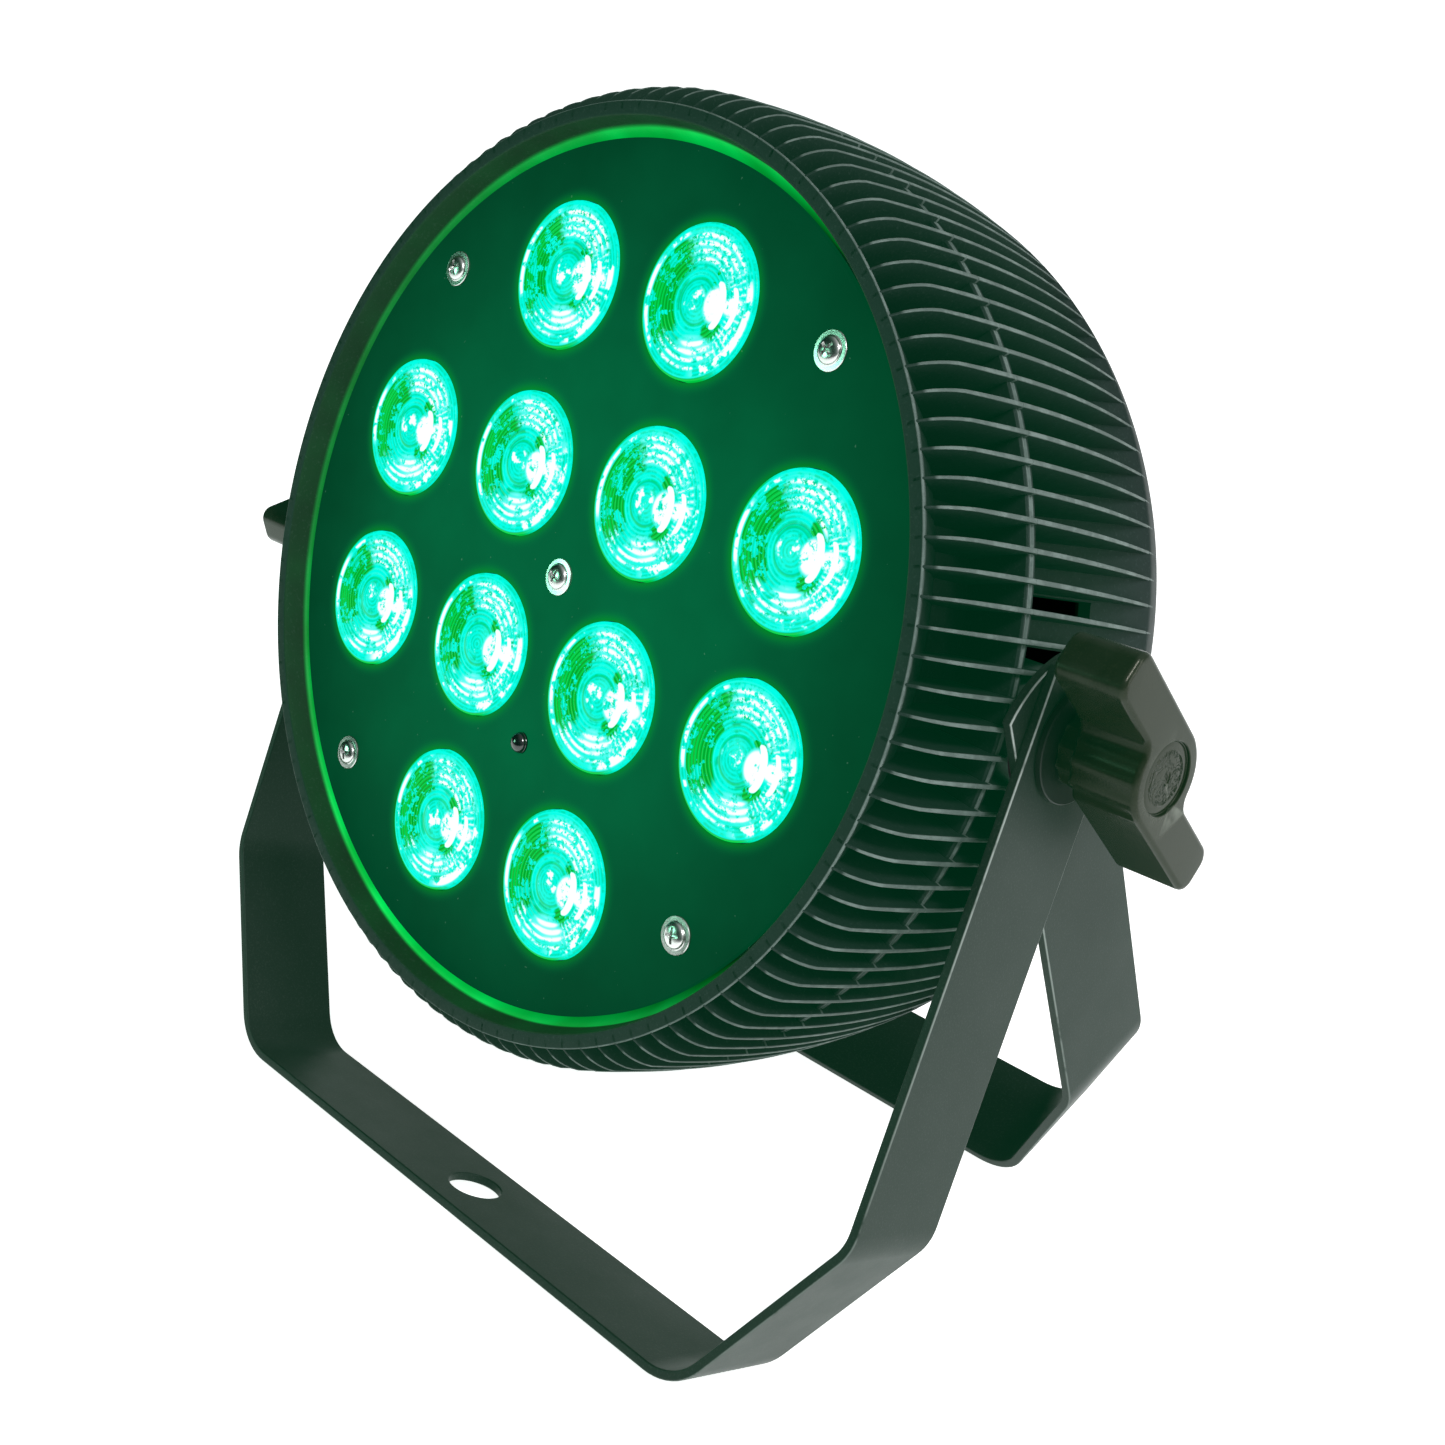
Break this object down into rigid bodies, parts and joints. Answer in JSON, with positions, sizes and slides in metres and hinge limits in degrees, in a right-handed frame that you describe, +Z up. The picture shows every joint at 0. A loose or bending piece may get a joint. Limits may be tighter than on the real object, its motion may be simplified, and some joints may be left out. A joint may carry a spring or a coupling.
{
  "type": "par can light",
  "caption": "Round finned LED par light with a lens array, tilting between two nested U brackets clamped by winged knobs.",
  "frame": {"origin": "on the floor under the middle of the light's bounding box", "axes": "+Z up; +X along the pivot axis, to the right as seen from in front; the light faces -Y and upward, so +Y is to its back"},
  "size_m": [0.2492, 0.1774, 0.2255],
  "materials": {
    "housing": "fine-textured satin black powder coat on die-cast alloy",
    "face_plate": "satin black painted sheet",
    "bracket": "satin black powder coat on bent steel strip",
    "lens": "clear moulded lens lit green-cyan from behind",
    "led": "LED package with a clear dome",
    "black_plastic": "moulded black plastic",
    "white_board": "white solder mask on a metal-core board",
    "green_board": "green solder mask with parts",
    "dark_lens": "dark tinted clear plastic",
    "nickel_screw": "nickel-plated steel",
    "brass_post": "bare brass",
    "heatsink": "bare extruded aluminium",
    "back_panel": "satin black powder-coated sheet",
    "display_glass": "dark blue display",
    "button": "grey moulded caps",
    "socket_plastic": "black moulded plastic",
    "fuse_glass": "glass tube fuse",
    "latch_metal": "nickel-plated latch",
    "zinc_steel": "zinc-plated steel",
    "washer_rubber": "black fibre-rubber washer",
    "knob_plastic": "black moulded plastic with a slight sheen"
  },
  "bodies": {
    "yoke_front": {"yoke_front": "bracket"},
    "head": {"front_shell": "housing", "rear_shell": "housing", "face_plate": "face_plate", "lens_01": "lens", "lens_02": "lens", "lens_03": "lens", "lens_04": "lens", "lens_05": "lens", "lens_06": "lens", "lens_07": "lens", "lens_08": "lens", "lens_09": "lens", "lens_10": "lens", "lens_11": "lens", "lens_12": "lens", "lens_holders": "black_plastic", "led_emitters": "led", "led_board": "white_board", "ir_receiver": "dark_lens", "face_screws": "nickel_screw", "face_standoffs": "brass_post", "heatsink": "heatsink", "fan_frame": "black_plastic", "fan_screws": "nickel_screw", "shell_screws": "nickel_screw", "heatsink_screws": "nickel_screw", "power_board": "green_board", "power_board_posts": "brass_post", "control_board": "green_board", "board_screws": "nickel_screw", "back_panel": "back_panel", "panel_screws": "nickel_screw", "display_module": "display_glass", "display_window": "dark_lens", "power_inlet": "socket_plastic", "dmx_in": "socket_plastic", "dmx_out": "socket_plastic", "socket_screws": "nickel_screw", "safety_eye": "zinc_steel", "pivot_inserts": "brass_post", "friction_washers": "washer_rubber"},
    "yoke_rear": {"yoke_rear": "bracket"},
    "washer_right": {"knob_washer_right": "zinc_steel"},
    "knob_right": {"knob_right": "knob_plastic", "knob_bolt_right": "zinc_steel"},
    "washer_left": {"knob_washer_left": "zinc_steel"},
    "knob_left": {"knob_left": "knob_plastic", "knob_bolt_left": "zinc_steel"},
    "fan": {"fan_rotor": "black_plastic"},
    "button_menu": {"button_menu": "button"},
    "button_up": {"button_up": "button"},
    "button_down": {"button_down": "button"},
    "button_enter": {"button_enter": "button"},
    "dmx_out_latch": {"dmx_out_latch": "latch_metal"},
    "fuse_drawer": {"fuse_drawer": "socket_plastic", "fuse": "fuse_glass"}
  },
  "joints": [
    {"name": "head_tilt", "type": "hinge", "parent": "yoke_front", "child": "head", "pos_m": [0, -0.00289, 0.12479], "axis": [1, 0, 0], "range_deg": [-120, 120]},
    {"name": "rear_yoke_swing", "type": "hinge", "parent": "yoke_front", "child": "yoke_rear", "pos_m": [0, -0.00289, 0.12479], "axis": [1, 0, 0], "range_deg": [-43.5, 100]},
    {"name": "knob_right_travel", "type": "slide", "parent": "yoke_front", "child": "washer_right", "axis": [1, 0, 0], "range_m": [0, 0.0015]},
    {"name": "knob_right_spin", "type": "hinge", "parent": "washer_right", "child": "knob_right", "pos_m": [0, -0.00289, 0.12479], "axis": [1, 0, 0], "range_deg": [0, 450]},
    {"name": "knob_left_travel", "type": "slide", "parent": "yoke_front", "child": "washer_left", "axis": [-1, 0, 0], "range_m": [0, 0.0015]},
    {"name": "knob_left_spin", "type": "hinge", "parent": "washer_left", "child": "knob_left", "pos_m": [0, -0.00289, 0.12479], "axis": [-1, 0, 0], "range_deg": [0, 450]},
    {"name": "fan_spin", "type": "hinge", "parent": "head", "child": "fan", "pos_m": [0, 0.01092, 0.11775], "axis": [0, 0.891, -0.454], "continuous": true},
    {"name": "button_menu_press", "type": "slide", "parent": "head", "child": "button_menu", "axis": [0, -0.891, 0.454], "range_m": [0, 0.0005], "stiffness_N_per_m": 1200, "springref_m": -0.0003},
    {"name": "button_up_press", "type": "slide", "parent": "head", "child": "button_up", "axis": [0, -0.891, 0.454], "range_m": [0, 0.0005], "stiffness_N_per_m": 1200, "springref_m": -0.0003},
    {"name": "button_down_press", "type": "slide", "parent": "head", "child": "button_down", "axis": [0, -0.891, 0.454], "range_m": [0, 0.0005], "stiffness_N_per_m": 1200, "springref_m": -0.0003},
    {"name": "button_enter_press", "type": "slide", "parent": "head", "child": "button_enter", "axis": [0, -0.891, 0.454], "range_m": [0, 0.0005], "stiffness_N_per_m": 1200, "springref_m": -0.0003},
    {"name": "dmx_out_latch_press", "type": "slide", "parent": "head", "child": "dmx_out_latch", "axis": [0, -0.891, 0.454], "range_m": [0, 0.0015], "stiffness_N_per_m": 600, "springref_m": -0.001},
    {"name": "fuse_drawer_pull", "type": "slide", "parent": "head", "child": "fuse_drawer", "axis": [0, 0.891, -0.454], "range_m": [0, 0.016]}
  ],
  "couplings": [
    {"joint": "knob_right_spin", "follows": "knob_right_travel", "rad_per_m": 5026.5},
    {"joint": "knob_left_spin", "follows": "knob_left_travel", "rad_per_m": 5026.5}
  ]
}
